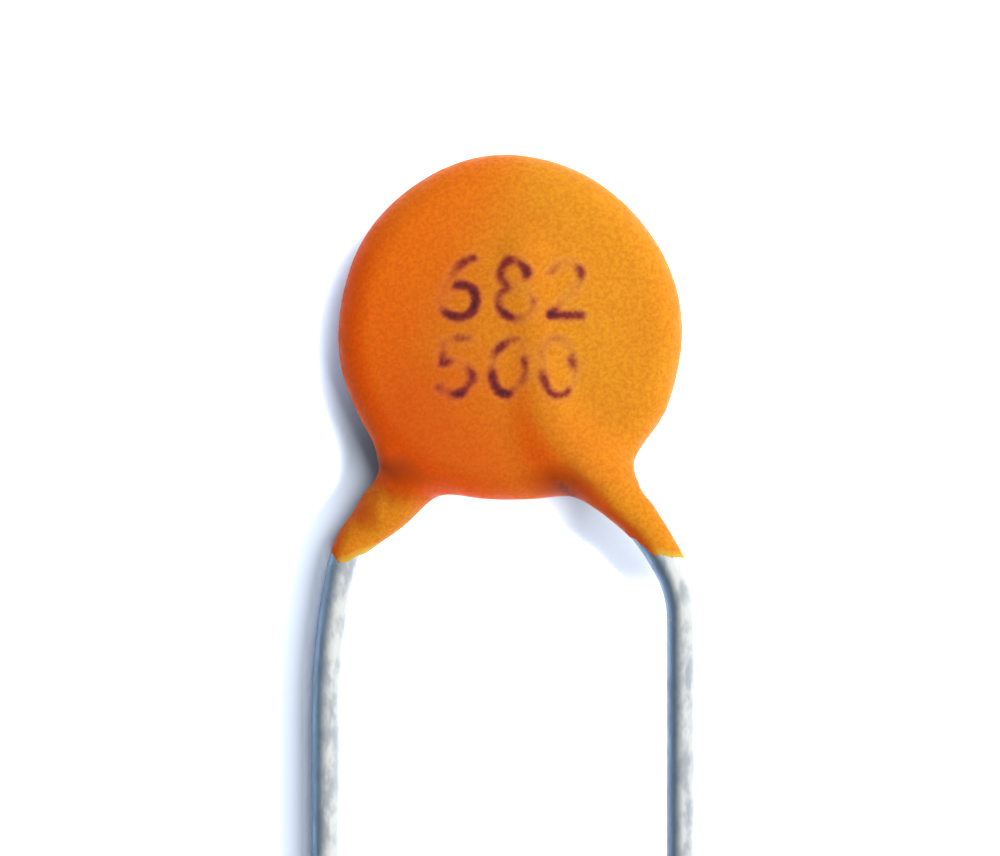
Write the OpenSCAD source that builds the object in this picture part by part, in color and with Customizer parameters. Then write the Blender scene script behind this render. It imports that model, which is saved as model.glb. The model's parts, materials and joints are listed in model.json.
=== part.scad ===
// Ceramic disc capacitor: a silvered ceramic disc, soldered between two wire leads and dipped in resin.
// Millimetres. The part lies on its back face and on the tips of its leads, with +Z up.
// X runs across the two leads and -Y runs along them to their tips.
// The parts are first placed about the disc: X = 0 midway between the leads, Y = 0 and Z = 0 at the
// disc's centre, with its front face up. laid_down() then sets the whole part at rest on Z = 0.

/* [Ceramic disc] */
// Diameter of the fired ceramic disc
ceramic_d = 5.0; // [4.2:0.1:6.5]
// Thickness of the ceramic disc
ceramic_t = 0.55; // [0.4:0.05:0.8]
// Chamfer on the ceramic disc's edges
ceramic_chamfer = 0.05; // [0.02:0.01:0.1]
// How far the disc sits to the right of the middle line between the leads
disc_shift = 0.08; // [-0.1:0.02:0.2]

/* [Electrodes and solder] */
// Bare ring of ceramic left round each silver electrode
electrode_margin = 0.3; // [0.15:0.05:0.6]
// Thickness of each fired silver electrode
electrode_t = 0.02; // [0.015:0.005:0.04]
// Diameter of the solder mound on each electrode
solder_d = 2.3; // [1.8:0.1:2.8]
// Height of the solder mound above its electrode
solder_h = 0.45; // [0.35:0.05:0.55]
// How far the solder mound reaches past the wire's inner end
solder_wrap = 0.3; // [0.2:0.05:0.5]
// Solder between each wire and its electrode
solder_film = 0.03; // [0.02:0.01:0.05]

/* [Leads] */
// Diameter of the tinned wire
lead_d = 0.6; // [0.5:0.05:0.7]
// Distance between the two leads, centre to centre
lead_pitch = 6.35; // [5.5:0.05:8]
// Length of the leads below the coated disc's rim
lead_length = 18; // [12:1:30]
// Bevel that the cutter leaves round each end of the wire
cut_bevel = 0.05; // [0.02:0.01:0.1]
// Distance from the middle line to each wire, level with the disc's centre
contact_x = 0.52; // [0.3:0.02:0.7]
// Angle at which each wire crosses its electrode
contact_angle = 8; // [2:1:15]
// How far each wire reaches past the disc's centre
contact_reach = 1.35; // [1:0.05:1.6]
// Distance inside the disc's rim at which each wire turns outwards
turn_inset = 1.45; // [1.2:0.05:1.7]
// Inside-coat bend radius of each wire
turn_r = 1.6; // [1.2:0.1:2]
// Thinning of the wire's radius where it is bent
bend_thinning = 0.002; // [0.001:0.001:0.004]

/* [Front lead] */
// Angle of the front lead's leg, from straight down
front_leg_angle = 43; // [35:1:50]
// Angle of the short stretch between the front lead's two outer bends
front_knee_angle = 30; // [20:1:34]
// Radius of the front lead's upper outer bend
front_knee_r = 4; // [2:0.5:5]
// Radius of the front lead's lower outer bend
front_foot_r = 2; // [1.5:0.5:4]
// Height that the coat runs down the front lead, below the disc's rim
front_run_down = 0.9; // [0.6:0.05:1.4]

/* [Back lead] */
// Angle of the back lead's leg, from straight down
back_leg_angle = 42; // [35:1:50]
// Angle of the short stretch between the back lead's two outer bends
back_knee_angle = 12; // [8:1:20]
// Radius of the back lead's upper outer bend
back_knee_r = 1.2; // [1:0.2:3]
// Radius of the back lead's lower outer bend
back_foot_r = 12; // [6:1:14]
// Height that the coat runs down the back lead, below the disc's rim
back_run_down = 1.0; // [0.6:0.05:1.4]

/* [Resin coat] */
// Resin on the ceramic disc's rim
rim_coat = 0.585; // [0.45:0.005:0.8]
// Resin on each electrode, at the disc's centre
face_coat = 0.655; // [0.6:0.005:0.8]
// Radius of the coat's rounded rim
rim_r = 0.72; // [0.65:0.01:0.78]
// Resin that stands over each wire under the coat
wire_coat = 0.12; // [0.1:0.01:0.2]
// Thin film of resin at the lower end of each leg
leg_film = 0.02; // [0.015:0.005:0.04]
// Length over which a leg's resin thins to that film
leg_taper = 1.2; // [0.8:0.1:1.5]
// Width over which the resin blends between the disc and a wire
blend = 0.8; // [0.6:0.05:0.9]

/* [Hidden] */
$fn = 48;

ceramic_r = ceramic_d / 2;
electrode_r = ceramic_r - electrode_margin;
lead_r = lead_d / 2;
half_pitch = lead_pitch / 2;
// Height of each electrode's outer face, and of each wire's centre, from the disc's middle
electrode_top = ceramic_t / 2 + electrode_t;
wire_z = electrode_top + solder_film + lead_r;
coat_r = ceramic_r + rim_coat;
coat_apex = electrode_top + face_coat;
tip_y = -coat_r - lead_length;
knee_straight = 0.12;    // straight wire left between a lead's two outer bends
bend_overlap = 0.02;     // a bend runs this far into the straight wire at each end of it
sink = 0.012;            // the ridges' outer edges dip this far under the coat's lens

// ---- Wire routes: corner points with a bend radius at each -----------------------------------

function unit(v) = v / norm(v);
function turn(a, b) = acos(min(1, a * b));
function heading(side, angle) = [side * sin(angle), -cos(angle), 0];

// The corners of one lead, from its inner end to its tip. side is 1 at the right, -1 at the left.
function corners(side, leg, knee, knee_r, foot_r) =
    let (z = side * wire_z,
         turn_y = turn_inset - coat_r,
         start = [side * (contact_x - contact_reach * tan(contact_angle)), contact_reach, z],
         turn_at = [side * (contact_x - turn_y * tan(contact_angle)), turn_y, z],
         knee_run = knee_r * tan((leg - knee) / 2) + knee_straight + foot_r * tan(knee / 2),
         leg_run = (half_pitch - side * turn_at.x - knee_run * sin(knee)) / sin(leg),
         knee_at = turn_at + leg_run * heading(side, leg),
         foot_at = knee_at + knee_run * heading(side, knee))
    [start, turn_at, knee_at, foot_at, [side * half_pitch, tip_y, 0]];

function directions(p) = [for (i = [0 : len(p) - 2]) unit(p[i + 1] - p[i])];
function setbacks(p, r) =
    let (d = directions(p))
    [for (i = [0 : len(p) - 1]) r[i] == 0 ? 0 : r[i] * tan(turn(d[i - 1], d[i]) / 2)];
// Unit vector from a bend's start towards the centre of the bend
function inwards(d, i) = unit(d[i] - (d[i] * d[i - 1]) * d[i - 1]);
function bend_centre(p, r, i) =
    let (d = directions(p))
    p[i] - setbacks(p, r)[i] * d[i - 1] + r[i] * inwards(d, i);

front_corners = corners(1, front_leg_angle, front_knee_angle, front_knee_r, front_foot_r);
front_bends = [0, turn_r, front_knee_r, front_foot_r, 0];
back_corners = corners(-1, back_leg_angle, back_knee_angle, back_knee_r, back_foot_r);
back_bends = [0, turn_r, back_knee_r, back_foot_r, 0];

// ---- Stations along a wire: [centre of a ring, direction, nearest point of the wire's centre line]

ridge_step = 0.3;        // spacing of the stations along straight wire
bend_step = 8;           // degrees between the stations round a bend
cap_stations = 6;        // stations past the inner end, where the ridge runs out into the lens
cap_reach = 1.08;        // how far past the inner end the last of them lies
cap_drop = 0.45;         // how far it lies nearer the disc's middle, so that its ring is under the lens

function line_stations(a, b) =
    let (n = max(1, ceil(norm(b - a) / ridge_step)), d = unit(b - a))
    [for (k = [0 : n - 1]) let (q = a + (b - a) * k / n) [q, d, q]];
function bend_stations(p, r, i) =
    let (d = directions(p), t = turn(d[i - 1], d[i]), n = ceil(t / bend_step),
         c = bend_centre(p, r, i), w = inwards(d, i))
    [for (k = [0 : n - 1]) let (a = t * k / n, q = c - r[i] * cos(a) * w + r[i] * sin(a) * d[i - 1])
        [q, cos(a) * d[i - 1] + sin(a) * w, q]];
function cap_line(p) =
    let (d = directions(p)[0], down = [0, 0, -sign(p[0].z)])
    [for (k = [cap_stations : -1 : 1]) let (s = k / cap_stations)
        [p[0] - s * cap_reach * d + s * cap_drop * down, d, p[0]]];
function stations(p, r) =
    let (d = directions(p), t = setbacks(p, r))
    concat(cap_line(p),
           [for (i = [0 : len(p) - 3]) each concat(
               line_stations(p[i] + t[i] * d[i], p[i + 1] - t[i + 1] * d[i]),
               bend_stations(p, r, i + 1))]);

// ---- The resin's skin: a lens blended with a cover over each wire -----------------------------

// Radius of the lens's faces, so that they meet the rounded rim without a crease
lens_r = ((coat_r - rim_r) * (coat_r - rim_r) + coat_apex * coat_apex - rim_r * rim_r)
         / (2 * (coat_apex - rim_r));
lens_z = coat_apex - lens_r;

// Distance outside the lens: under a face it is measured to the face, beyond it to the rim
function lens_distance(q) =
    let (r = norm([q.x - disc_shift, q.y]), z = abs(q.z), rim_x = coat_r - rim_r)
    r * -lens_z < (z - lens_z) * rim_x
        ? norm([r, z - lens_z]) - lens_r
        : norm([r - rim_x, z]) - rim_r;
function blended(a, b) =
    let (h = max(blend - abs(a - b), 0) / blend)
    min(a, b) - h * h * blend / 4;
// Resin radius round a wire, at a height y above the lower end of the leg's coat
function cover_radius(y) =
    lead_r + leg_film + (wire_coat - leg_film) * pow(min(max(y, 0) / leg_taper, 1), 1.5);
reach_limit = lead_r + wire_coat + blend;
// Steps out from a ring's centre along a ray until it meets the skin
function reach(station, ray, cover, rho = 0, step = 70) =
    let (q = station[0] + rho * ray,
         gap = blended(norm(q - station[2]) - cover, lens_distance(q) + sink))
    step == 0 || rho >= reach_limit ? min(rho, reach_limit)
        : reach(station, ray, cover, rho - gap, step - 1);

rays = 32;
ray_warp = 0.55;         // rays crowd towards level over the disc, where the resin thins out sideways
function ring(station, end_y) =
    let (d = station[1], out = unit(cross(d, [0, 0, 1])), up = cross(out, d),
         cover = cover_radius(station[0].y - end_y),
         off_disc = norm([station[0].x - disc_shift, station[0].y]) - coat_r,
         warp = ray_warp * min(max((0.6 - off_disc) / 0.9, 0), 1) / 2 * 180 / PI)
    [for (k = [0 : rays - 1])
        let (t = 360 * k / rays, a = t - warp * sin(2 * t), ray = cos(a) * out + sin(a) * up)
            station[0] + reach(station, ray, cover) * ray];
function leg_rings(p, r, run_down) =
    let (end_y = -coat_r - run_down)
    [for (s = stations(p, r)) if (s[0].y > end_y) ring(s, end_y)];
front_rings = leg_rings(front_corners, front_bends, front_run_down);
back_rings = leg_rings(back_corners, back_bends, back_run_down);

// ---- Rest: the back's lowest point and both tips touch the floor ------------------------------

back_points = concat([[disc_shift, 0, -coat_apex]], [for (g = back_rings) each g]);
rest_tilt = max([for (q = back_points) atan2(-lead_r - q.z, q.y - tip_y)]);
rest_length = (coat_r - rim_r - tip_y) * cos(rest_tilt) + rim_r;
module laid_down() {
    translate([0, -tip_y * cos(rest_tilt) - rest_length / 2, lead_r - tip_y * sin(rest_tilt)])
        rotate([rest_tilt, 0, 0]) children();
}

// ---- Building blocks --------------------------------------------------------------------------

// Sets children with their X axis along x and their Z axis along z, at a point
module frame(x, z, at) {
    y = cross(z, x);
    multmatrix([[x.x, y.x, z.x, at.x], [x.y, y.y, z.y, at.y], [x.z, y.z, z.z, at.z], [0, 0, 0, 1]])
        children();
}

// A straight of the wire, from a to b, with its cut ends bevelled
module straight(a, b, start_bevel, end_bevel) {
    length = norm(b - a);
    along = unit(b - a);
    frame(unit(cross(along, [0, 0, 1])), along, a) rotate_extrude()
        polygon([[0, 0], [lead_r - start_bevel, 0], [lead_r, start_bevel],
                 [lead_r, length - end_bevel], [lead_r - end_bevel, length], [0, length]]);
}

// A bend of the wire at corner i
module bend(p, r, i) {
    d = directions(p);
    w = inwards(d, i);
    spare = bend_overlap / r[i] * 180 / PI;
    frame(-w, cross(-w, d[i - 1]), bend_centre(p, r, i))
        rotate([0, 0, -spare]) rotate_extrude(angle = turn(d[i - 1], d[i]) + 2 * spare)
            translate([r[i], 0]) circle(r = lead_r - bend_thinning);
}

module wire(p, r) {
    d = directions(p);
    t = setbacks(p, r);
    last = len(p) - 2;
    for (i = [0 : last])
        straight(p[i] + t[i] * d[i], p[i + 1] - t[i + 1] * d[i],
                 i == 0 ? cut_bevel : 0, i == last ? cut_bevel : 0);
    for (i = [1 : last]) bend(p, r, i);
}

// Closed skin through a list of rings; each quad between two rings is split on its shorter diagonal
module skin(rings) {
    n = len(rings);
    m = len(rings[0]);
    p = [for (g = rings) each g];
    sides = [for (i = [0 : n - 2], k = [0 : m - 1])
        let (a = i * m + k, b = i * m + (k + 1) % m)
            each norm(p[a] - p[b + m]) < norm(p[b] - p[a + m])
                ? [[a, b, b + m], [a, b + m, a + m]] : [[a, b, a + m], [b, b + m, a + m]]];
    polyhedron(p, concat([[for (k = [m - 1 : -1 : 0]) k]], sides, [[for (k = [0 : m - 1]) (n - 1) * m + k]]));
}

// The coat's lens, revolved: two faces cut by the rim's inner edge, and the rounded rim
module lens() {
    rim_x = coat_r - rim_r;
    tangent_x = rim_x * lens_r / (lens_r - rim_r);
    rotate_extrude() {
        intersection() {
            translate([0, lens_z]) circle(lens_r, $fn = 360);
            translate([0, -lens_z]) circle(lens_r, $fn = 360);
            translate([0, -coat_apex]) square([tangent_x, 2 * coat_apex]);
        }
        translate([rim_x, 0]) circle(rim_r);
    }
}

module ceramic() {
    h = ceramic_t / 2;
    translate([disc_shift, 0, 0]) rotate_extrude()
        polygon([[0, -h], [ceramic_r - ceramic_chamfer, -h], [ceramic_r, -h + ceramic_chamfer],
                 [ceramic_r, h - ceramic_chamfer], [ceramic_r - ceramic_chamfer, h], [0, h]]);
}

// The silver layer on the face that side points to
module electrode(side) {
    translate([disc_shift, 0, side > 0 ? ceramic_t / 2 : -electrode_top])
        cylinder(r = electrode_r, h = electrode_t);
}

// A mound of solder round the wire, on the electrode that side points to
module solder(side, p, r) {
    mound_r = (solder_d * solder_d / 4 + solder_h * solder_h) / (2 * solder_h);
    y = contact_reach + solder_wrap - solder_d / 2;
    x = side * (contact_x - y * tan(contact_angle));
    difference() {
        translate([x, y, side * electrode_top]) mirror([0, 0, side > 0 ? 0 : 1])
            intersection() {
                translate([0, 0, solder_h - mound_r]) sphere(mound_r);
                cylinder(r = solder_d, h = solder_h + 1);
            }
        wire(p, r);
    }
}

// ---- Parts ------------------------------------------------------------------------------------

module coating() {
    color([0.89, 0.47, 0.13]) laid_down() difference() {
        union() {
            translate([disc_shift, 0, 0]) lens();
            skin(front_rings);
            skin(back_rings);
        }
        ceramic();
        electrode(1);
        electrode(-1);
        solder(1, front_corners, front_bends);
        solder(-1, back_corners, back_bends);
        wire(front_corners, front_bends);
        wire(back_corners, back_bends);
    }
}

module ceramic_disc() {
    color([0.62, 0.46, 0.36]) laid_down() ceramic();
}

module front_electrode() {
    color([0.86, 0.86, 0.84]) laid_down() electrode(1);
}

module back_electrode() {
    color([0.86, 0.86, 0.84]) laid_down() electrode(-1);
}

module front_solder() {
    color([0.68, 0.69, 0.70]) laid_down() solder(1, front_corners, front_bends);
}

module back_solder() {
    color([0.68, 0.69, 0.70]) laid_down() solder(-1, back_corners, back_bends);
}

module front_lead() {
    color([0.75, 0.76, 0.78]) laid_down() wire(front_corners, front_bends);
}

module back_lead() {
    color([0.75, 0.76, 0.78]) laid_down() wire(back_corners, back_bends);
}

coating();
ceramic_disc();
front_electrode();
back_electrode();
front_solder();
back_solder();
front_lead();
back_lead();
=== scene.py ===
"""Looks of a ceramic disc capacitor: its resin coat, printed numbers and tinned leads.

The CAD model is the frame. The coat's smooth skin and the ink are made here, in the disc's own
frame and in millimetres: X across the leads, Y away from their tips, Z out of the printed face.
"""

import json
import math

import bpy
import numpy as np
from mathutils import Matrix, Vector


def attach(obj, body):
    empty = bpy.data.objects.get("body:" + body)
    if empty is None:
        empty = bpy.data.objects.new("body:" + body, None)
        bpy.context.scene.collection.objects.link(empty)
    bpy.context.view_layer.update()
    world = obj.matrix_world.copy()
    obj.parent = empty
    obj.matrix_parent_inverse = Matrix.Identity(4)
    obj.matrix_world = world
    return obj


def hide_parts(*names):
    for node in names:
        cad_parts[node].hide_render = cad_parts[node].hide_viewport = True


MM = 0.001

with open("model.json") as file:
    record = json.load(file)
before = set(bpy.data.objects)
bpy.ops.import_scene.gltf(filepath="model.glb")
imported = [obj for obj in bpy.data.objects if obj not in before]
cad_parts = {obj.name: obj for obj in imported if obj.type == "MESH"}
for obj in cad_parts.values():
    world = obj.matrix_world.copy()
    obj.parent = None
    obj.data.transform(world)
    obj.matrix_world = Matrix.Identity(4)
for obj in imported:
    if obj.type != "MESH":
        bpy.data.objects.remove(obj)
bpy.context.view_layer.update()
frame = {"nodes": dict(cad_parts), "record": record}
nodes = frame["nodes"]
mounts = {m["name"]: m for m in frame["record"]["mounts"]}

# ---- The wires and the coat, in millimetres and degrees, at the part's own sizes -------------------

LEAD_R = mounts["front_lead_end"]["dims"]["r_mm"]
HALF_PITCH = mounts["front_lead_end"]["pos_m"][0] / MM
DISC_SHIFT = 0.08  # the disc sits this far to the right of the middle between the leads
COAT_R = 3.085
COAT_APEX = 0.95  # half the thickness of the coated disc
RIM_R = 0.72
WIRE_Z = 0.625  # height of each wire's centre from the disc's middle
WIRE_COAT = 0.12  # resin over each wire
BLEND = 0.8  # reach of the fillet between a wire and the disc
CONTACT_X, CONTACT_ANGLE = 0.52, 8  # where each wire passes the disc's centre, and its slant there
CONTACT_REACH = 1.35  # each wire ends this far past the disc's centre
TURN_INSET, TURN_R = 1.45, 1.6  # and turns outwards this far inside the rim, with this radius
KNEE_STRAIGHT = 0.12  # straight wire between a lead's two outer bends
# Each lead: side, leg angle, knee angle, knee radius, foot radius
FRONT = (1, 43, 30, 4, 2)
BACK = (-1, 42, 12, 1.2, 12)
STRAIGHT_RUN, BEND_POINTS = 4, 9  # length of a route below its last bend, and points along a bend

# ---- What the dip did to this one coat, in millimetres and degrees ---------------------------------

LEG_FILM, LEG_TAPER = 0.006, 1.05  # the resin on a leg thins to this film over this length
BLEND_ON_DISC = 0.3  # the fillet's reach up the disc, where the ridge over a lead has faded
RIDGE_DROP, RIDGE_FADES = 0.11, (-2.7, -0.4)  # that ridge sinks so far, between these levels
# Where the dip's lower edge crosses each leg: distances from the middle, levels below the disc
EDGES = {
    1: ((2.3, 2.42, 2.64, 2.9, 3.3), (0.6, 0.68, 0.88, 0.92, 0.93)),
    -1: ((2.1, 2.39, 2.63, 2.97, 3.08, 3.2), (0.78, 0.87, 0.96, 1.1, 0.95, 0.8)),
}
# Ripples of that edge: height, radians in a millimetre across, shift in radians on each side
EDGE_RIPPLES = ((0.014, 11, 2), (0.01, 23, 0))
EDGE_FEATHER = 0.6  # how steeply the lower edge thins out onto the wire
CUT_BELOW = 0.1  # the skin closes this far below its edge, inside the wire
# The dipped coat isn't quite round: angle from +X, height of the lump, its half width
RIM_LUMPS = (
    (98, 0.05, 20),
    (40, -0.042, 22),
    (168, -0.04, 16),
    (-30, 0.055, 10),
    (-90, -0.055, 13),
    (-140, 0.045, 9),
)
# Swellings and hollows of the resin about the legs and over the leads' ends: X, Y, height, half width
SWELLS = (
    (2.42, -2.35, 0.08, 0.34),
    (-1.75, -3.25, 0.16, 0.54),
    (-2.05, -3.6, 0.06, 0.42),
    (1.6, -3.3, 0.06, 0.48),
    (-2.75, -3.2, -0.03, 0.35),
    (-2.27, -2.3, 0.11, 0.27),
    (-2.38, -3.22, 0.06, 0.3),
    (0.25, 1.0, 0.115, 1.4),
)

# ---- The skin's grid, in millimetres ---------------------------------------------------------------

GRID_STEP = 0.04
ROOM_BEFORE = (0.5, 1.4, 0.4)  # the grid's room round the disc towards -X, -Y and -Z
ROOM_AFTER = (0.6, 0.3, 0.4)  # and towards +X, +Y and +Z
SKIN_PASSES = 4  # times that the grid's points are drawn onto the surface
SLOPE_STEP = 0.004  # the surface's slope is taken across this much on each side
LEAST_SLOPE = 0.2  # the squared slope counts as at least this, so that no point leaps away


def rise(value, low, high):
    """0 up to low, 1 from high on, and straight between them."""
    return np.clip((value - low) / (high - low), 0, 1)


def eased(share):
    """A share from 0 to 1 that sets out and arrives gently."""
    return share * share * (3 - 2 * share)


# ---- The disc's frame, from the ceramic disc's own solid -------------------------------------------


def disc_frame():
    """Matrix and origin that take the disc's frame, in millimetres, to the part's, in metres."""
    points = np.array([v.co for v in nodes["ceramic_disc"].data.vertices])
    centre = (points.min(0) + points.max(0)) / 2
    normal = np.linalg.svd(points - points.mean(0))[2][2]
    normal *= np.sign(normal[2])
    up = np.cross(normal, (1.0, 0.0, 0.0))
    axes = np.stack([np.cross(up, normal), up, normal], axis=1)
    axes /= np.linalg.norm(axes, axis=0)
    return axes * MM, centre - axes @ (DISC_SHIFT * MM, 0, 0)


DISC_AXES, DISC_CENTRE = disc_frame()


def to_part(points):
    return points @ DISC_AXES.T + DISC_CENTRE


# ---- Wire routes, seen from above ------------------------------------------------------------------


def heading(side, angle):
    """Direction at an angle from straight down, outwards on that side."""
    a = math.radians(angle)
    return np.array([side * math.sin(a), -math.cos(a)])


def bend_points(before, corner, after, radius):
    """Points along the arc that rounds a route's corner."""
    arrive, leave = corner - before, after - corner
    arrive, leave = arrive / np.linalg.norm(arrive), leave / np.linalg.norm(leave)
    bend = math.acos(arrive @ leave)
    inward = leave - (leave @ arrive) * arrive
    inward /= np.linalg.norm(inward)
    centre = corner - radius * math.tan(bend / 2) * arrive + radius * inward
    return [
        centre + radius * (math.sin(a) * arrive - math.cos(a) * inward)
        for a in np.linspace(0, bend, BEND_POINTS)
    ]


def wire_route(side, leg, knee, knee_r, foot_r):
    """Points along a wire's centre line, from its inner end to where it runs straight to its tip."""
    slope = math.tan(math.radians(CONTACT_ANGLE))
    turn_y = TURN_INSET - COAT_R
    start = np.array([side * (CONTACT_X - CONTACT_REACH * slope), CONTACT_REACH])
    turn_at = np.array([side * (CONTACT_X - turn_y * slope), turn_y])
    knee_setback = knee_r * math.tan(math.radians(leg - knee) / 2)
    foot_setback = foot_r * math.tan(math.radians(knee) / 2)
    knee_run = knee_setback + KNEE_STRAIGHT + foot_setback
    leg_across = HALF_PITCH - side * turn_at[0] - knee_run * math.sin(math.radians(knee))
    knee_at = turn_at + leg_across / math.sin(math.radians(leg)) * heading(side, leg)
    foot_at = knee_at + knee_run * heading(side, knee)
    end = foot_at + (0, -STRAIGHT_RUN)
    corners = [start, turn_at, knee_at, foot_at, end]
    points = [start]
    for i, radius in enumerate((TURN_R, knee_r, foot_r)):
        points += bend_points(*corners[i : i + 3], radius)
    return np.array([*points, end])


ROUTES = [(lead, wire_route(*lead)) for lead in (FRONT, BACK)]


def distance_to_route(x, y, route):
    """Distance in plan from each point to a polyline."""
    nearest = np.full(x.shape, np.inf)
    for a, b in zip(route[:-1], route[1:]):
        along = b - a
        t = np.clip(((x - a[0]) * along[0] + (y - a[1]) * along[1]) / (along @ along), 0, 1)
        gap = (x - a[0] - t * along[0]) ** 2 + (y - a[1] - t * along[1]) ** 2
        nearest = np.minimum(nearest, gap)
    return np.sqrt(nearest)


# ---- The coat's skin as a distance field -----------------------------------------------------------

# The disc's section: faces of radius LENS_R about a centre on the axis, and a rim round RIM_X
RIM_X = COAT_R - RIM_R
LENS_R = (RIM_X**2 + COAT_APEX**2 - RIM_R**2) / (2 * (COAT_APEX - RIM_R))
LENS_Z = COAT_APEX - LENS_R


def lens_distance(x, y, z):
    """Distance outside the coated disc, with the lumps of its outline."""
    x = x - DISC_SHIFT
    r = np.hypot(x, y)
    angle = np.degrees(np.arctan2(y, x))
    for at, height, width in RIM_LUMPS:
        off = (angle - at + 180) % 360 - 180
        r = r - height * np.exp(-((off / width) ** 2)) * np.clip(r / COAT_R, 0, 1) ** 3
    z = np.abs(z)
    face = np.hypot(r, z - LENS_Z) - LENS_R
    rim = np.hypot(r - RIM_X, z) - RIM_R
    # The face goes out to the line from its own centre through the rim's
    return np.where(-LENS_Z * r < (z - LENS_Z) * RIM_X, face, rim)


def up_the_disc(y):
    """0 at the leads' roots and 1 where their ridges have faded."""
    return rise(y, *RIDGE_FADES)


def edge_height(lead, x):
    """The level to which the dip wetted a leg."""
    side = lead[0]
    ripple = sum(height * np.sin(turn * x + shift * side) for height, turn, shift in EDGE_RIPPLES)
    return -COAT_R - np.interp(side * x, *EDGES[side]) + ripple


def cover_radius(y, edge):
    """Radius of the resin round a wire: it thins down the leg and feathers out at its lower edge."""
    above = np.clip((y - edge) / LEG_TAPER, 0, 1) ** 2
    below = np.clip(edge - y, 0, None)
    thickness = LEG_FILM + (WIRE_COAT - LEG_FILM) * above - RIDGE_DROP * up_the_disc(y)
    return LEAD_R + thickness - EDGE_FEATHER * below


def sleeve_distance(lead, flat, edge, y, z):
    """Distance outside the resin round a wire; flat is the distance in plan from the wire's route."""
    return np.hypot(flat, z - lead[0] * WIRE_Z) - cover_radius(y, edge)


def blended(a, b, reach):
    """The smaller of two distances, with a fillet where they are within reach of each other."""
    h = np.clip(reach - np.abs(a - b), 0, None) / reach
    return np.minimum(a, b) - h * h * reach / 4


def coat_distance(x, y, z, plan=None):
    """Signed distance to the coat's skin. plan may hold the distance to each route."""
    found = lens_distance(x, y, z)
    reach = BLEND + (BLEND_ON_DISC - BLEND) * up_the_disc(y)
    for i, (lead, route) in enumerate(ROUTES):
        flat = distance_to_route(x, y, route) if plan is None else plan[i]
        edge = edge_height(lead, x)
        sleeve = sleeve_distance(lead, flat, edge, y, z)
        found = blended(found, np.maximum(sleeve, edge - CUT_BELOW - y), reach)
    for at_x, at_y, height, width in SWELLS:
        found = found - height * np.exp(-((x - at_x) ** 2 + (y - at_y) ** 2) / width**2)
    return found


def coat_slope(points):
    """The field's slope at each point. On the skin it points straight out."""
    slopes = []
    for step in np.eye(3) * SLOPE_STEP:
        slopes.append(coat_distance(*(points + step).T) - coat_distance(*(points - step).T))
    return np.stack(slopes, axis=1) / (2 * SLOPE_STEP)


def surface_net(values, low, step):
    """Quads through the cells where values change sign, one vertex a cell."""
    inside = values < 0
    count = np.zeros([n - 1 for n in inside.shape], np.int8)
    for corner in np.ndindex(2, 2, 2):
        count += inside[tuple(slice(c, n - 1 + c) for c, n in zip(corner, inside.shape))]
    mixed = (count > 0) & (count < 8)
    index = np.full(mixed.shape, -1)
    index[mixed] = np.arange(mixed.sum())
    points = (np.argwhere(mixed) + 0.5) * step + low
    quads = []
    for axis in range(3):
        u, v = (axis + 1) % 3, (axis + 2) % 3
        turned = np.moveaxis(inside, (axis, u, v), (0, 1, 2))
        cells = np.moveaxis(index, (axis, u, v), (0, 1, 2))
        start, end = turned[:-1, 1:-1, 1:-1], turned[1:, 1:-1, 1:-1]
        for leaving in (True, False):
            a, b, c = np.argwhere((start != end) & (start == leaving)).T
            ring = [
                cells[a, b, c],
                cells[a, b + 1, c],
                cells[a, b + 1, c + 1],
                cells[a, b, c + 1],
            ]
            quads.append(np.stack(ring if leaving else ring[::-1], axis=1))
    return points, np.concatenate(quads)


def coat_skin():
    """The skin's points and quads in the disc's frame, drawn onto the true surface."""
    reach = np.array([COAT_R, COAT_R, COAT_APEX])
    low, high = -reach - ROOM_BEFORE, reach + ROOM_AFTER
    axes = [np.arange(a, b, GRID_STEP) for a, b in zip(low, high)]
    x, y = np.meshgrid(axes[0], axes[1], indexing="ij")
    plan = [distance_to_route(x, y, route)[:, :, None] for _, route in ROUTES]
    values = coat_distance(x[:, :, None], y[:, :, None], axes[2][None, None, :], plan)
    points, quads = surface_net(values, low, GRID_STEP)
    for _ in range(SKIN_PASSES):
        slope = coat_slope(points)
        steepness = np.maximum((slope**2).sum(1), LEAST_SLOPE)
        move = (coat_distance(*points.T) / steepness)[:, None] * slope
        points -= np.clip(move, -GRID_STEP, GRID_STEP)
    return points, quads


def new_piece(name, points, faces, material, replaces=None):
    """A mesh on the coat that rides on the part, smoothed by the coat's own slope."""
    mesh = bpy.data.meshes.new(name)
    places = to_part(points)
    places[:, 2] = np.maximum(places[:, 2], 0)  # nothing sinks into the table
    mesh.from_pydata(places.tolist(), [], faces.tolist())
    mesh.shade_smooth()
    mesh.normals_split_custom_set_from_vertices((coat_slope(points) @ DISC_AXES.T).tolist())
    mesh.materials.append(material)
    piece = bpy.data.objects.new(name, mesh)
    bpy.context.scene.collection.objects.link(piece)
    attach(piece, "root")
    if replaces:
        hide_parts(replaces)
    return piece


def point_values(mesh, name, values):
    """A value at each of the mesh's points, for its material to read."""
    attribute = mesh.attributes.new(name, "FLOAT", "POINT")
    attribute.data.foreach_set("value", np.asarray(values, np.float32))


def grid_quads(index):
    """Quads between the points of a grid, given each point's number."""
    corners = [index[:-1, :-1], index[1:, :-1], index[1:, 1:], index[:-1, 1:]]
    return np.stack(corners, axis=-1).reshape(-1, 4)


# ---- Node trees ------------------------------------------------------------------------------------


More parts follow.
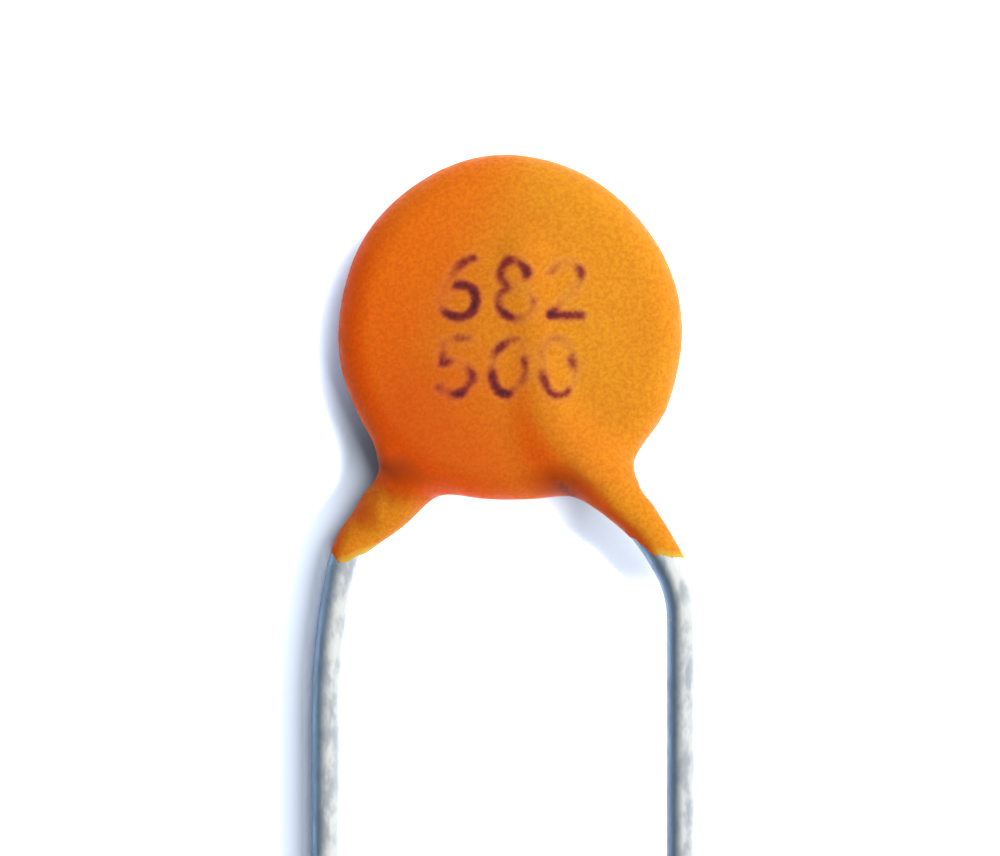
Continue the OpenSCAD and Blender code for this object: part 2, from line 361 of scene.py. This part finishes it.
class Tree:
    """The node tree of a new material or world, written as short calls.

    Its place and normal are in the part's frame, and its place is in metres.
    """

    def __init__(self, owner, shader="Principled BSDF"):
        owner.use_nodes = True
        self.owner = owner
        self.nodes = owner.node_tree.nodes
        self.links = owner.node_tree.links
        self.shader = self.nodes[shader]
        coordinates = self.nodes.new("ShaderNodeTexCoord").outputs
        self.place, self.normal = coordinates["Object"], coordinates["Normal"]
        self.direction = coordinates["Generated"]

    def feed(self, socket, value):
        """Set a socket, or link it where the value is another socket."""
        if isinstance(value, bpy.types.NodeSocket):
            self.links.new(value, socket)
        else:
            socket.default_value = value

    def node(self, kind, settings=None, **inputs):
        """A new node. Its inputs go by name, with _ for a space, or by number, such as i0."""
        made = self.nodes.new(kind)
        for key, value in (settings or {}).items():
            setattr(made, key, value)
        for key, value in inputs.items():
            numbered = key[0] == "i" and key[1:].isdigit()
            self.feed(made.inputs[int(key[1:]) if numbered else key.replace("_", " ")], value)
        return made

    def noise(self, size_mm, detail=2.0, rough=0.5, place=None):
        """Noise whose features are about size_mm across."""
        made = self.node(
            "ShaderNodeTexNoise",
            Vector=place or self.place,
            Scale=1 / (size_mm * MM),
            Detail=detail,
            Roughness=rough,
        )
        return made.outputs["Fac"]

    def ramp(self, value, low, high, to_low=0.0, to_high=1.0):
        """A smooth turn from to_low, where value is low, to to_high, where it is high."""
        return self.node(
            "ShaderNodeMapRange",
            {"interpolation_type": "SMOOTHSTEP"},
            i0=value, i1=low, i2=high, i3=to_low, i4=to_high,
        ).outputs[0]

    def math(self, operation, a, b=0.0):
        return self.node("ShaderNodeMath", {"operation": operation}, i0=a, i1=b).outputs[0]

    def add(self, a, b):
        return self.math("ADD", a, b)

    def minus(self, a, b):
        return self.math("SUBTRACT", a, b)

    def times(self, a, b):
        return self.math("MULTIPLY", a, b)

    def mix(self, factor, a, b):
        """Colour a where the factor is 0, and b where it is 1. They are the node's inputs 6 and 7."""
        return self.node("ShaderNodeMix", {"data_type": "RGBA"}, i0=factor, i6=a, i7=b).outputs[2]

    def axis(self, name, vector=None):
        """One part of a vector, or of the place where none is given."""
        return self.node("ShaderNodeSeparateXYZ", Vector=vector or self.place).outputs[name]

    def attribute(self, name):
        return self.node("ShaderNodeAttribute", {"attribute_name": name}).outputs["Fac"]

    def bump(self, height, strength, distance_mm):
        made = self.node(
            "ShaderNodeBump", Height=height, Strength=strength, Distance=distance_mm * MM
        )
        self.feed(self.shader.inputs["Normal"], made.outputs[0])

    def finish(self, **inputs):
        """Feed the shader and give back the material or world."""
        for key, value in inputs.items():
            self.feed(self.shader.inputs[key.replace("_", " ")], value)
        return self.owner


def material_tree(name):
    return Tree(bpy.data.materials.new(name))


def metres(sizes_mm):
    return [size * MM for size in sizes_mm]


def srgb(*levels):
    """A colour in linear light, from sRGB levels up to 255."""

    def linear(level):
        v = level / 255
        return v / 12.92 if v <= 0.04045 else ((v + 0.055) / 1.055) ** 2.4

    return (*map(linear, levels), 1.0)


def toward_light(t):
    """Above 0 where the surface faces right and up the part, and below 0 where it faces away."""
    return t.add(t.axis("X", t.normal), t.times(t.axis("Y", t.normal), 0.5))


# ---- Resin and ink ---------------------------------------------------------------------------------

# Painted light and shade: the resin is redder towards the shaded left and yellower towards the lit
# right.
RESIN_PAINTED_SHADE_LEFT, RESIN_PAINTED_LIGHT_RIGHT = srgb(230, 88, 16), srgb(234, 154, 32)
# Painted light: a brighter tone at the disc's upper left.
RESIN_PAINTED_LIGHT_UPPER_LEFT = srgb(255, 118, 6)
RESIN_LEG = srgb(232, 147, 27)
# Painted shade: redder tones on flanks that face away from the light.
DISC_PAINTED_FLANK_SHADE, LEG_PAINTED_FLANK_SHADE = srgb(255, 88, 0), srgb(224, 78, 8)
# Painted shade: a dark tone in the creases where the legs leave the disc.
RESIN_PAINTED_CREASE_SHADE = srgb(112, 35, 6)
RESIN_GRAIN = srgb(192, 80, 10)
RESIN_THIN = srgb(222, 186, 70)
INK_WORN, INK_FULL = srgb(150, 44, 30), srgb(66, 20, 28)

TONE_TURNS = (-3.1, 1.6)  # the painted shaded tone at the left turns into the painted lit one at the right between these places across
TONE_SLANT, SLANT_BELOW = 0.72, -0.3  # and so much further right for each millimetre below this level
PATCH_SHARE = 0.12  # share of that turn that patches take
UPPER_LEFT_RISE = 0.6  # painted light: upper left is this share of the height above the disc's centre, less X
UPPER_LEFT_TURNS = (0.9, 2.6)  # the painted lighter tone there sets in between these values of it
LEG_TONE = (3.25, 3.7)  # distances from the disc's centre between which the legs' tone begins
FRINGE = 0.13  # the coat is thin enough to show its yellow this far above its edge
CREASE_SHADE_R = (2.4, 2.95)  # the painted shade in the creases at the legs' roots begins and is full this far from the centre
CREASE_SHADE_ENDS = (3.4, 3.9)  # and fades down the legs between these distances
BACK_CREASE_SHADE_ABOVE = (-2.85, -2.3)  # the painted shade in the back leg's crease fades away down between these levels
LEG_CREASE_SHADE = 0.14  # share of the painted crease shade all down the legs
# Values of toward_light() between which the painted shade of flanks and creases sets in, and the yellow
# fringe, painted on lit sides only, does
SHADED_FLANK_TURNS, CREASE_SHADE_TURNS, LIT_FRINGE_TURNS = (-0.15, -0.7), (-0.03, -0.4), (-0.55, -0.15)
GRAIN_MM = 0.07


def resin_colour(t):
    """Orange resin, yellower on the legs, with painted light and shade: yellower to the lit right and
    upper left, redder to the shaded left, on shaded flanks and in creases.
    """
    level = t.axis("Y")
    below = t.math("MINIMUM", t.minus(level, DISC_CENTRE[1] + SLANT_BELOW * MM), 0.0)
    across = t.add(t.axis("X"), t.times(below, TONE_SLANT))
    patches = t.ramp(t.noise(size_mm=1.3), 0.3, 0.7)
    # Painted light and shade across the disc, with patches of tone at random.
    turn = t.ramp(across, *metres(TONE_TURNS))
    turn = t.add(t.times(turn, 1 - PATCH_SHARE), t.times(patches, PATCH_SHARE))
    body = t.mix(turn, RESIN_PAINTED_SHADE_LEFT, RESIN_PAINTED_LIGHT_RIGHT)
    # Painted light: a brighter tone towards the upper left.
    upper_left_light = t.minus(t.times(t.minus(level, DISC_CENTRE[1]), UPPER_LEFT_RISE), t.axis("X"))
    body = t.mix(t.ramp(upper_left_light, *metres(UPPER_LEFT_TURNS), to_high=0.6), body, RESIN_PAINTED_LIGHT_UPPER_LEFT)
    body = t.mix(t.times(t.attribute("leg"), 0.85), body, RESIN_LEG)
    facing = toward_light(t)
    # Painted shade on flanks that face away from the light.
    flank_shade = t.mix(t.attribute("leg"), DISC_PAINTED_FLANK_SHADE, LEG_PAINTED_FLANK_SHADE)
    body = t.mix(t.ramp(facing, *SHADED_FLANK_TURNS, to_high=0.9), body, flank_shade)
    # Painted shade in the creases, on sides that face away from the light.
    shade = t.times(t.attribute("crease"), t.ramp(facing, *CREASE_SHADE_TURNS, to_high=0.95))
    body = t.mix(shade, body, RESIN_PAINTED_CREASE_SHADE)
    grain = t.noise(GRAIN_MM, detail=3.0, rough=0.65)
    return t.mix(t.ramp(grain, 0.32, 0.68, to_high=0.42), body, RESIN_GRAIN)


def resin_material():
    """The coat: dull orange, with a yellow fringe where it is thin at its lower edges, painted only
    where the surface faces the light.
    """
    t = material_tree("dipped_resin")
    # The thin resin's yellow, painted only where the surface faces the light.
    lit_fringe = t.times(t.attribute("thin"), t.ramp(toward_light(t), *LIT_FRINGE_TURNS, to_high=0.85))
    grain = t.noise(GRAIN_MM, detail=3.0, rough=0.6)
    t.bump(t.add(t.times(grain, 0.5), t.noise(size_mm=0.7)), strength=0.35, distance_mm=0.02)
    return t.finish(
        Base_Color=t.mix(lit_fringe, resin_colour(t), RESIN_THIN),
        Roughness=t.ramp(t.noise(size_mm=0.3, detail=3.0), 0.3, 0.7, 0.52, 0.66),
        Specular_IOR_Level=0.07,
    )


def ink_material():
    """Worn purplish brown ink, through which the resin shows where little of it lies."""
    t = material_tree("stamped_ink")
    load = t.attribute("ink_load")
    colour = t.mix(t.ramp(load, 0.0, 0.62), resin_colour(t), INK_WORN)
    t.bump(t.noise(GRAIN_MM, detail=3.0, rough=0.6), strength=0.3, distance_mm=0.012)
    return t.finish(
        Base_Color=t.mix(t.ramp(load, 0.35, 1.0), colour, INK_FULL),
        Roughness=t.ramp(load, 0.0, 1.0, 0.52, 0.66),
        Specular_IOR_Level=0.2,
    )


# ---- Materials of the other pieces -----------------------------------------------------------------

TIN_DULL, TIN_BRIGHT = srgb(174, 180, 185), srgb(206, 210, 208)
# Painted highlight on the side facing the light, and painted steel blue shade on the flank away from it.
TIN_PAINTED_HIGHLIGHT, TIN_PAINTED_SHADE = srgb(228, 230, 228), srgb(82, 98, 112)
TIN_STRETCH = 0.45  # a patch's width, as a share of its length along the wire
SOLDER_DULL, SOLDER_BRIGHT = srgb(150, 152, 154), srgb(208, 208, 206)
SILVER_DULL, SILVER_BRIGHT = srgb(206, 204, 198), srgb(236, 235, 230)
CERAMIC_DARK, CERAMIC_LIGHT, CERAMIC_SPECK = srgb(150, 112, 82), srgb(178, 140, 106), srgb(196, 164, 132)


def tinned_material():
    """Blotched tin, with a painted highlight on the side that faces the light and painted steel blue
    shade on the flank away from it.
    """
    t = material_tree("tinned_wire")
    along = t.node("ShaderNodeMapping", Vector=t.place, Scale=(1.0, TIN_STRETCH, 1.0)).outputs[0]
    blotch = t.noise(0.28, 3.0, 0.6, along)
    facing = toward_light(t)
    colour = t.mix(t.ramp(blotch, 0.38, 0.62), TIN_DULL, TIN_BRIGHT)
    # Painted highlight on the side that faces the light.
    colour = t.mix(t.ramp(facing, 0.2, 0.9, to_high=0.4), colour, TIN_PAINTED_HIGHLIGHT)
    fine = t.noise(size_mm=0.05, place=along)
    t.bump(t.add(blotch, t.times(fine, 0.35)), strength=0.5, distance_mm=0.03)
    # Painted shade: steel blue on the flank away from the light.
    return t.finish(
        Base_Color=t.mix(t.ramp(facing, 0.0, -0.62), colour, TIN_PAINTED_SHADE),
        Metallic=1.0,
        Roughness=t.ramp(blotch, 0.35, 0.65, 0.6, 0.45),
    )


def solder_material():
    t = material_tree("set_solder")
    flow = t.noise(size_mm=0.25, detail=4.0, rough=0.65)
    t.bump(flow, strength=0.6, distance_mm=0.03)
    return t.finish(
        Base_Color=t.mix(flow, SOLDER_DULL, SOLDER_BRIGHT),
        Metallic=1.0,
        Roughness=t.ramp(flow, 0.3, 0.7, 0.2, 0.45),
    )


def silver_material():
    t = material_tree("fired_silver")
    grain = t.noise(size_mm=0.05, detail=4.0, rough=0.7)
    t.bump(grain, strength=0.5, distance_mm=0.005)
    return t.finish(
        Base_Color=t.mix(grain, SILVER_DULL, SILVER_BRIGHT),
        Metallic=1.0,
        Roughness=t.ramp(grain, 0.3, 0.7, 0.6, 0.4),
    )


def ceramic_material():
    t = material_tree("fired_ceramic")
    speck = t.noise(size_mm=0.06, detail=4.0, rough=0.7)
    body = t.mix(t.noise(size_mm=0.9), CERAMIC_DARK, CERAMIC_LIGHT)
    t.bump(speck, strength=0.5, distance_mm=0.01)
    return t.finish(
        Base_Color=t.mix(t.ramp(speck, 0.35, 0.7), body, CERAMIC_SPECK),
        Roughness=t.ramp(speck, 0.3, 0.7, 0.85, 0.65),
    )


NODE_MATERIALS = (
    (tinned_material, ("front_lead", "back_lead")),
    (solder_material, ("front_solder", "back_solder")),
    (silver_material, ("front_electrode", "back_electrode")),
    (ceramic_material, ("ceramic_disc",)),
)


def dress_nodes():
    """Materials on the part's own meshes, which keep their shapes."""
    for make, names in NODE_MATERIALS:
        material = make()
        for name in names:
            mesh = nodes[name].data
            mesh.materials.clear()
            mesh.materials.append(material)


# ---- The coat --------------------------------------------------------------------------------------


def crease_depth(x, y, z):
    """Where shade is painted: 1 in the crease where a leg leaves the disc, 0 away from it."""
    disc = lens_distance(x, y, z)
    deepest = np.zeros(x.shape)
    for lead, route in ROUTES:
        sleeve = sleeve_distance(lead, distance_to_route(x, y, route), edge_height(lead, x), y, z)
        depth = 1 - np.abs(disc - sleeve) / BLEND
        if lead is BACK:
            depth = depth * rise(y, *BACK_CREASE_SHADE_ABOVE)
        deepest = np.maximum(deepest, depth)
    r = np.hypot(x, y)
    return deepest * rise(r, *CREASE_SHADE_R) * (1 - rise(r, *CREASE_SHADE_ENDS))


def make_coat():
    """The coat's skin, with values that tell its material where it is thin, where it is leg, and where
    crease shade is painted.
    """
    points, quads = coat_skin()
    piece = new_piece("resin_coat", points, quads, resin_material(), "coating")
    x, y, z = points.T
    above = y - np.where(x > 0, edge_height(FRONT, x), edge_height(BACK, x))
    thin = np.where(y < -COAT_R - FRINGE, np.clip(1 - above / FRINGE, 0, 1), 0)
    point_values(piece.data, "thin", thin)
    leg = rise(np.hypot(x, y), *LEG_TONE)
    point_values(piece.data, "leg", leg)
    point_values(piece.data, "crease", np.maximum(crease_depth(x, y, z), LEG_CREASE_SHADE * leg))


# ---- The printed numbers ---------------------------------------------------------------------------


def arc(cx, cy, rx, ry, start, end, count=14):
    """Points along an ellipse, from one angle to another in degrees."""
    a = np.radians(np.linspace(start, end, count))
    return np.stack([cx + rx * np.cos(a), cy + ry * np.sin(a)], axis=1)


def stroke(*runs):
    """One stroke through runs of points."""
    return np.vstack(runs)


# Strokes of each figure in a cell FIGURE_W wide and 1 high, with its baseline at 0
FIGURE_W = 0.64
FIGURES = {
    "0": [arc(0.32, 0.5, 0.29, 0.5, 100, 460, 24)],
    "2": [stroke(arc(0.31, 0.71, 0.28, 0.28, 165, -35), [(0.04, 0.03), (0.6, 0.0)])],
    "5": [stroke([(0.56, 0.97), (0.13, 1.0), (0.07, 0.57)], arc(0.29, 0.31, 0.31, 0.31, 110, -150))],
    "6": [
        stroke(
            [(0.5, 1.0)],
            arc(0.55, 0.36, 0.5, 0.6, 128, 172, 6),
            arc(0.33, 0.28, 0.27, 0.28, 170, -190, 20),
        )
    ],
    "8": [arc(0.32, 0.75, 0.22, 0.24, -90, 270, 18), arc(0.32, 0.26, 0.29, 0.26, 90, 450, 20)],
}
# Each printed figure: figure, left edge and baseline in the disc's frame, width, height, lean
PRINT = (
    ("6", -1.2, 0.28, 0.7, 1.02, 4),
    ("8", -0.14, 0.26, 0.68, 1.04, -3),
    ("2", 0.76, 0.3, 0.62, 0.98, 2),
    ("5", -1.18, -1.12, 0.64, 0.98, -2),
    ("0", -0.3, -1.1, 0.66, 0.96, 5),
    ("0", 0.62, -1.14, 0.68, 1.0, -4),
)
PRINT_X, PRINT_Y = (-1.3, 1.5), (-1.2, 1.36)  # all strokes run within these places
STROKE_R = 0.078
STROKE_BLUR = 0.1  # a stroke's edge fades across this much on each side
STROKE_WANDER = 0.03  # its radius varies by this much, and by as much again with the blotches
INK_STEP = 0.014  # between the film's points
INK_HEIGHT = 0.005  # the film stands this far out of the coat
INK_SETS_IN = 0.04  # from half of this load the film stands out of the coat
INK_START, INK_PASSES = 0.1, 8  # its points drop onto the coat from so far above, in so many passes
# Noise in the ink: size of its features, seed
WANDER_NOISE, BLOTCH_NOISE, FLECK_NOISE = (0.16, 5), (0.27, 11), (0.05, 3)
LATTICE = 128  # values across a noise
THIN_BLOTCH, THIN_LOAD = 0.25, 0.2  # where the blotches' noise has this value, so much ink lies
BLOTCH_LOAD, LEAST_LOAD = 1.2, 0.16  # it rises by this for each unit of noise, and is never less
FLECK_MEAN, FLECK_LOAD = 0.85, 0.3  # the flecks scale it about this, by this for each unit of noise


def value_noise(x, y, size, seed):
    """Smooth noise from 0 to 1 with features about size across."""
    lattice = np.random.default_rng(seed).random((LATTICE, LATTICE))
    u, v = x / size + LATTICE // 2, y / size + LATTICE // 2
    i, j = np.floor(u).astype(int), np.floor(v).astype(int)
    s, t = eased(u - i), eased(v - j)
    a = lattice[i, j] * (1 - s) + lattice[i + 1, j] * s
    b = lattice[i, j + 1] * (1 - s) + lattice[i + 1, j + 1] * s
    return a * (1 - t) + b * t


def stroke_distance(x, y):
    """Distance in plan from each point to the middle of the nearest printed stroke."""
    nearest = np.full(x.shape, np.inf)
    for figure, left, base, width, height, lean in PRINT:
        for line in FIGURES[figure]:
            across, up = (line * (width / FIGURE_W, height)).T
            across = across + up * math.tan(math.radians(lean))
            route = np.stack([across + left, up + base], axis=1)
            nearest = np.minimum(nearest, distance_to_route(x, y, route))
    return nearest


def ink_density(x, y):
    """How much ink lies at each point: blotchy strokes with soft edges."""
    wander = value_noise(x, y, *WANDER_NOISE)
    blotch = value_noise(x, y, *BLOTCH_NOISE)
    fleck = value_noise(x, y, *FLECK_NOISE)
    load = np.clip(THIN_LOAD + BLOTCH_LOAD * (blotch - THIN_BLOTCH), LEAST_LOAD, 1)
    load = load * (FLECK_MEAN + FLECK_LOAD * (fleck - 0.5))
    reach = STROKE_R + STROKE_WANDER * (wander - 0.5) + STROKE_WANDER * (blotch - 0.5)
    return load * eased(rise(reach - stroke_distance(x, y), -STROKE_BLUR, STROKE_BLUR))


def make_ink():
    """A film of ink on the coat, as thin as a stamp leaves it, on the printed figures alone."""
    margin = STROKE_R + 2 * STROKE_BLUR
    x, y = np.meshgrid(
        np.arange(PRINT_X[0] - margin, PRINT_X[1] + margin, INK_STEP),
        np.arange(PRINT_Y[0] - margin, PRINT_Y[1] + margin, INK_STEP),
        indexing="ij",
    )
    density = ink_density(x, y)
    z = np.full(x.shape, COAT_APEX + INK_START)
    for _ in range(INK_PASSES):
        z = z - coat_distance(x, y, z)
    z = z + INK_HEIGHT * np.clip(density / INK_SETS_IN - 0.5, -1, 1)
    quads = grid_quads(np.arange(x.size).reshape(x.shape))
    quads = quads[(density.ravel()[quads] > 0).any(axis=1)]
    used, faces = np.unique(quads, return_inverse=True)
    points = np.stack([x.ravel(), y.ravel(), z.ravel()], axis=1)[used]
    piece = new_piece("ink_numbers", points, faces.reshape(-1, 4), ink_material())
    point_values(piece.data, "ink_load", density.ravel()[used])


# ---- Camera ----------------------------------------------------------------------------------------

PHOTO_W, PHOTO_H = 1000, 856  # the photograph's pixels
PX_PER_MM = 56.0  # its scale at the part
DISC_PX = (509.8, 330.1)  # the disc's centre in it, from its upper left corner
CAMERA_HEIGHT = 300 * MM  # above the disc's centre
SENSOR = 36.0  # width of the camera's sensor, in millimetres
CLIP = (0.01, 10)  # nearest and furthest that the camera sees, in metres


def make_camera():
    """A camera that looks straight down, at the place where the photograph's centre is."""
    right, down = PHOTO_W / 2 - DISC_PX[0], PHOTO_H / 2 - DISC_PX[1]
    aim = to_part(np.array([DISC_SHIFT, 0, 0])) + np.array([right, -down, 0]) / PX_PER_MM * MM
    data = bpy.data.cameras.new("camera")
    data.sensor_width = SENSOR
    data.lens = SENSOR * CAMERA_HEIGHT / (PHOTO_W / PX_PER_MM * MM)
    data.clip_start, data.clip_end = CLIP
    camera = bpy.data.objects.new("camera", data)
    camera.location = Vector(aim) + Vector((0, 0, CAMERA_HEIGHT))
    bpy.context.scene.collection.objects.link(camera)
    bpy.context.scene.camera = camera


# ---- Table -----------------------------------------------------------------------------------------

# Colours in linear light. The camera and mirrors see the first two, in the light of the table's lamp
TABLE_SEEN = (0.74, 0.82, 1.0, 1)
TABLE_PAINTED_SHADE = (0.2, 0.228, 0.275, 1)  # painted shade close to the part, which makes its shadow deeper there
TABLE_LIT = (0.21, 0.235, 0.26, 1)  # to diffuse light: dark, so that little of it lights the part
TABLE_LIT_LEFT = (0.055, 0.075, 0.12, 1)  # the same on the left
LEFT_X = (-3.0, -4.4)  # the one turns into the other between these places across
WHITE = (1.0, 1.0, 1.0, 1)
GLOW_R = (22, 60)  # between these distances, where its lamp fades, the table turns to plain white
DIM_REACH = (0.4, 0.9)  # the table's painted shade ends between these distances from the outline
DIM_BELOW = (-2.4, 0.0)  # it fades up the disc between these levels, from the disc's centre
DIM_LEFT, DIM_RIGHT = (-2.4, -1.5), (0.2, 1.4)  # it lies left of the first and right of the second
RIGHT_DIM_ENDS = (-5.6, -4.2)  # and at the right it ends down here
LEAD_DIM = (-0.19, 0.06)  # beside the left lead it sets in between these distances from the outline
LEAD_DIM_BELOW = (-4.3, -3.7)  # and it does so below these levels
LEAD_TIP = mounts["back_lead_end"]["pos_m"][1] / MM - DISC_CENTRE[1] / MM
TIP_FADE = 1  # it fades over this length below the lead's tip
TABLE_FINE = (-5.0, 5.0), (-22.0, 5.0)  # where the table's grid is fine, from the disc's centre
TABLE_STEP = 0.08
TABLE_HALF = 600  # half the table's width


def outline_distance(x, y):
    """Distance in plan outside the coated disc and the wires, whose straight runs go on down."""
    found = np.hypot(x - DISC_SHIFT, y) - COAT_R
    for _, route in ROUTES:
        beside = np.maximum(y, route[-1][1])
        wire = distance_to_route(x, beside, route) - LEAD_R - WIRE_COAT
        found = blended(found, wire, BLEND)
    return found


def table_painted_shade(x, y):
    """Painted shade: 1 where the table is darker to the camera, close beside the part, and 0 away from
    it.
    """
    distance = outline_distance(x, y)
    sets_in = np.maximum(rise(distance, *LEAD_DIM), rise(y, *LEAD_DIM_BELOW))
    left = (1 - rise(x, *DIM_LEFT)) * sets_in * rise(y, LEAD_TIP - TIP_FADE, LEAD_TIP)
    right = rise(x, *DIM_RIGHT) * rise(y, *RIGHT_DIM_ENDS)
    return eased((left + right) * (1 - rise(distance, *DIM_REACH)) * (1 - rise(y, *DIM_BELOW)))


def fine_lines(low, high):
    """Levels of a grid that is fine between low and high and goes on to the table's edges."""
    return np.concatenate([[-TABLE_HALF], np.arange(low, high, TABLE_STEP), [TABLE_HALF]])


def seen_or_mirrored(t):
    """1 to the camera, in mirrors and through glass, and 0 to the light that lands on the part."""
    path = t.node("ShaderNodeLightPath").outputs
    mirrored = t.math("MAXIMUM", path["Is Glossy Ray"], path["Is Transmission Ray"])
    return t.math("MAXIMUM", path["Is Camera Ray"], mirrored)


def table_material():
    """A table that looks white, with painted shade close beside the part, and throws only dim light back
    at the part.
    """
    t = material_tree("white_table")
    seen = seen_or_mirrored(t)
    # Painted shade: the table is darker close beside the part, which deepens its shadow there.
    tone = t.mix(t.attribute("dim"), TABLE_SEEN, TABLE_PAINTED_SHADE)
    lit = t.mix(t.ramp(t.axis("X"), *metres(LEFT_X)), TABLE_LIT, TABLE_LIT_LEFT)
    far = t.node("ShaderNodeVectorMath", {"operation": "LENGTH"}, i0=t.place).outputs["Value"]
    return t.finish(
        Base_Color=t.mix(seen, lit, tone),
        Roughness=0.9,
        Specular_IOR_Level=0.0,
        Emission_Color=WHITE,
        Emission_Strength=t.times(seen, t.ramp(far, *metres(GLOW_R))),
    )


def make_floor():
    """The table, with a fine grid about the part that holds its painted shade."""
    x, y = np.meshgrid(*[fine_lines(*levels) for levels in TABLE_FINE], indexing="ij")
    quads = grid_quads(np.arange(x.size).reshape(x.shape))
    x, y = x.ravel(), y.ravel()
    points = np.stack([x * MM, y * MM + DISC_CENTRE[1], np.zeros(x.size)], axis=1)
    mesh = bpy.data.meshes.new("floor")
    mesh.from_pydata(points.tolist(), [], quads.tolist())
    mesh.materials.append(table_material())
    point_values(mesh, "dim", table_painted_shade(x, y))
    floor = bpy.data.objects.new("floor", mesh)
    bpy.context.scene.collection.objects.link(floor)
    return floor


# ---- Lamps and sky ---------------------------------------------------------------------------------

# Each lamp: azimuth from +X towards +Y, elevation, distance and width in millimetres, power in watts
KEY = (20, 60, 50, 56, 0.007)
TABLE_LAMP = (20, 57, 50, 48, 0.19)
LAMP_COLOUR = (1.0, 0.97, 0.93)
LAMP_AIM = Vector((0, 6 * MM, 0))  # both lamps look here, at the leads' roots
SKY_LEFT, SKY_RIGHT = (0.05, 0.14, 0.28, 1), (1.08, 1.115, 1.125, 1)
SKY_WAY = (0.94, 0.34, 0.0)  # the sky brightens towards here
SKY_TURNS = (-0.88, 0.05)  # between these cosines of the angle from there


def area_light(name, azimuth, elevation, distance_mm, size_mm, power):
    """A square lamp that looks at the part."""
    a, e = math.radians(azimuth), math.radians(elevation)
    way = Vector((math.cos(e) * math.cos(a), math.cos(e) * math.sin(a), math.sin(e)))
    data = bpy.data.lights.new(name, "AREA")
    data.size = size_mm * MM
    data.energy = power
    data.color = LAMP_COLOUR
    lamp = bpy.data.objects.new(name, data)
    lamp.location = LAMP_AIM + way * distance_mm * MM
    lamp.rotation_euler = way.to_track_quat("Z", "Y").to_euler()
    bpy.context.scene.collection.objects.link(lamp)
    return lamp


def light_only(lamp, target):
    """The lamp lights the target alone, and everything still throws its shadow there."""
    group = bpy.data.collections.new(target.name + "_only")
    group.objects.link(target)
    lamp.light_linking.receiver_collection = group


def make_sky():
    """A soft bright sky that falls off to dark blue at the left, plain white to camera and mirrors."""
    t = Tree(bpy.data.worlds.new("studio"), "Background")
    cosine = t.node("ShaderNodeVectorMath", {"operation": "DOT_PRODUCT"}, i0=t.direction, i1=SKY_WAY)
    sky = t.mix(t.ramp(cosine.outputs["Value"], *SKY_TURNS), SKY_LEFT, SKY_RIGHT)
    bpy.context.scene.world = t.finish(Color=t.mix(seen_or_mirrored(t), sky, WHITE), Strength=1.0)


def make_studio():
    """Table, sky and lamps. Only the table's own lamp makes the table bright."""
    floor = make_floor()
    make_sky()
    area_light("key", *KEY)
    light_only(area_light("table_lamp", *TABLE_LAMP), floor)
    bpy.context.scene.view_settings.view_transform = "Standard"


# ---- Build -----------------------------------------------------------------------------------------

dress_nodes()
make_coat()
make_ink()
make_studio()
make_camera()
